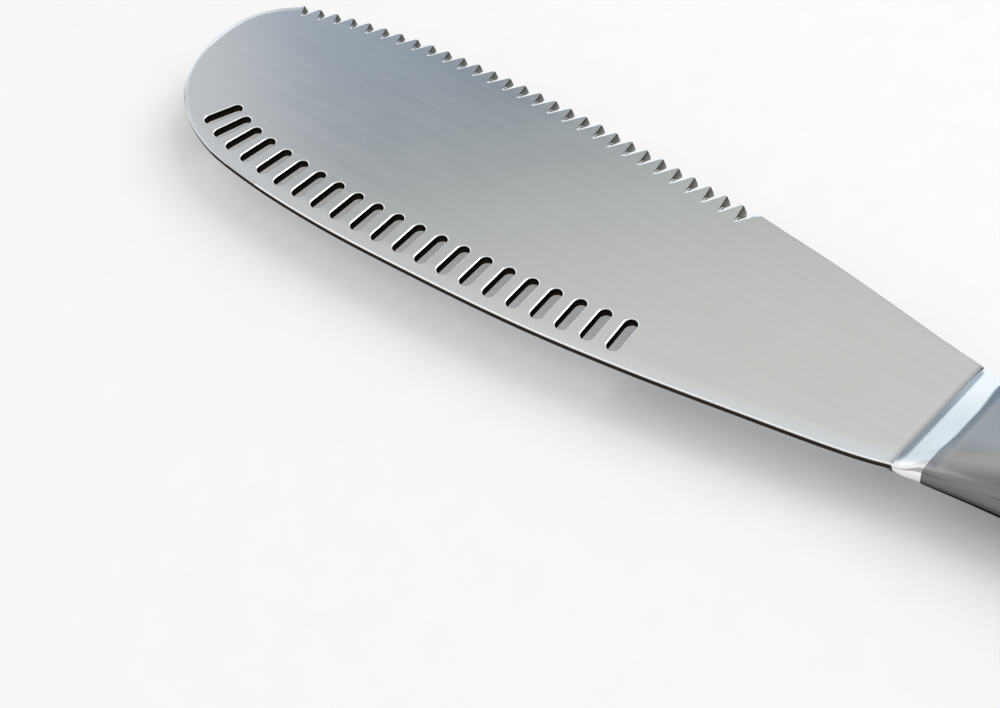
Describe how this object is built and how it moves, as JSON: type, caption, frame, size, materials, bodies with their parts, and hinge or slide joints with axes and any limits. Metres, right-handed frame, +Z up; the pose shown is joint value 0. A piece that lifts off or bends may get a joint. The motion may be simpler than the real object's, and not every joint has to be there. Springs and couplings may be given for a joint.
{
  "type": "butter knife",
  "caption": "Flat round-tipped butter spreader with a row of slots along one edge for curling butter, a serrated edge opposite, and a waisted hollow steel handle.",
  "frame": {"origin": "middle of the knife's bounding box on its lowest plane, which is the flat land under the handle", "axes": "+X along the knife from the rounded tip to the butt, +Y towards the serrated edge (the slotted edge faces -Y), +Z up, square to the flat blade, out of its face with the countersunk slots and the ground gullets"},
  "size_m": [0.206, 0.0286, 0.0106],
  "materials": {
    "satin_blade_steel": "stamped stainless sheet, fine lengthwise satin brushing on the flats, bright ground gullets, slot rims and edge bevels",
    "bright_collar_steel": "bright polished stainless shoulder",
    "polished_shell_steel_top": "polished stainless half shell with faint lengthwise streaks",
    "polished_shell_steel_bottom": "polished stainless half shell with faint lengthwise streaks",
    "bedding_resin": "dull filled resin, hidden inside the handle"
  },
  "bodies": {
    "root": {"blade": "satin_blade_steel", "front_collar": "bright_collar_steel", "handle_shell_top": "polished_shell_steel_top", "handle_shell_bottom": "polished_shell_steel_bottom", "tang_bed": "bedding_resin"}
  },
  "joints": []
}
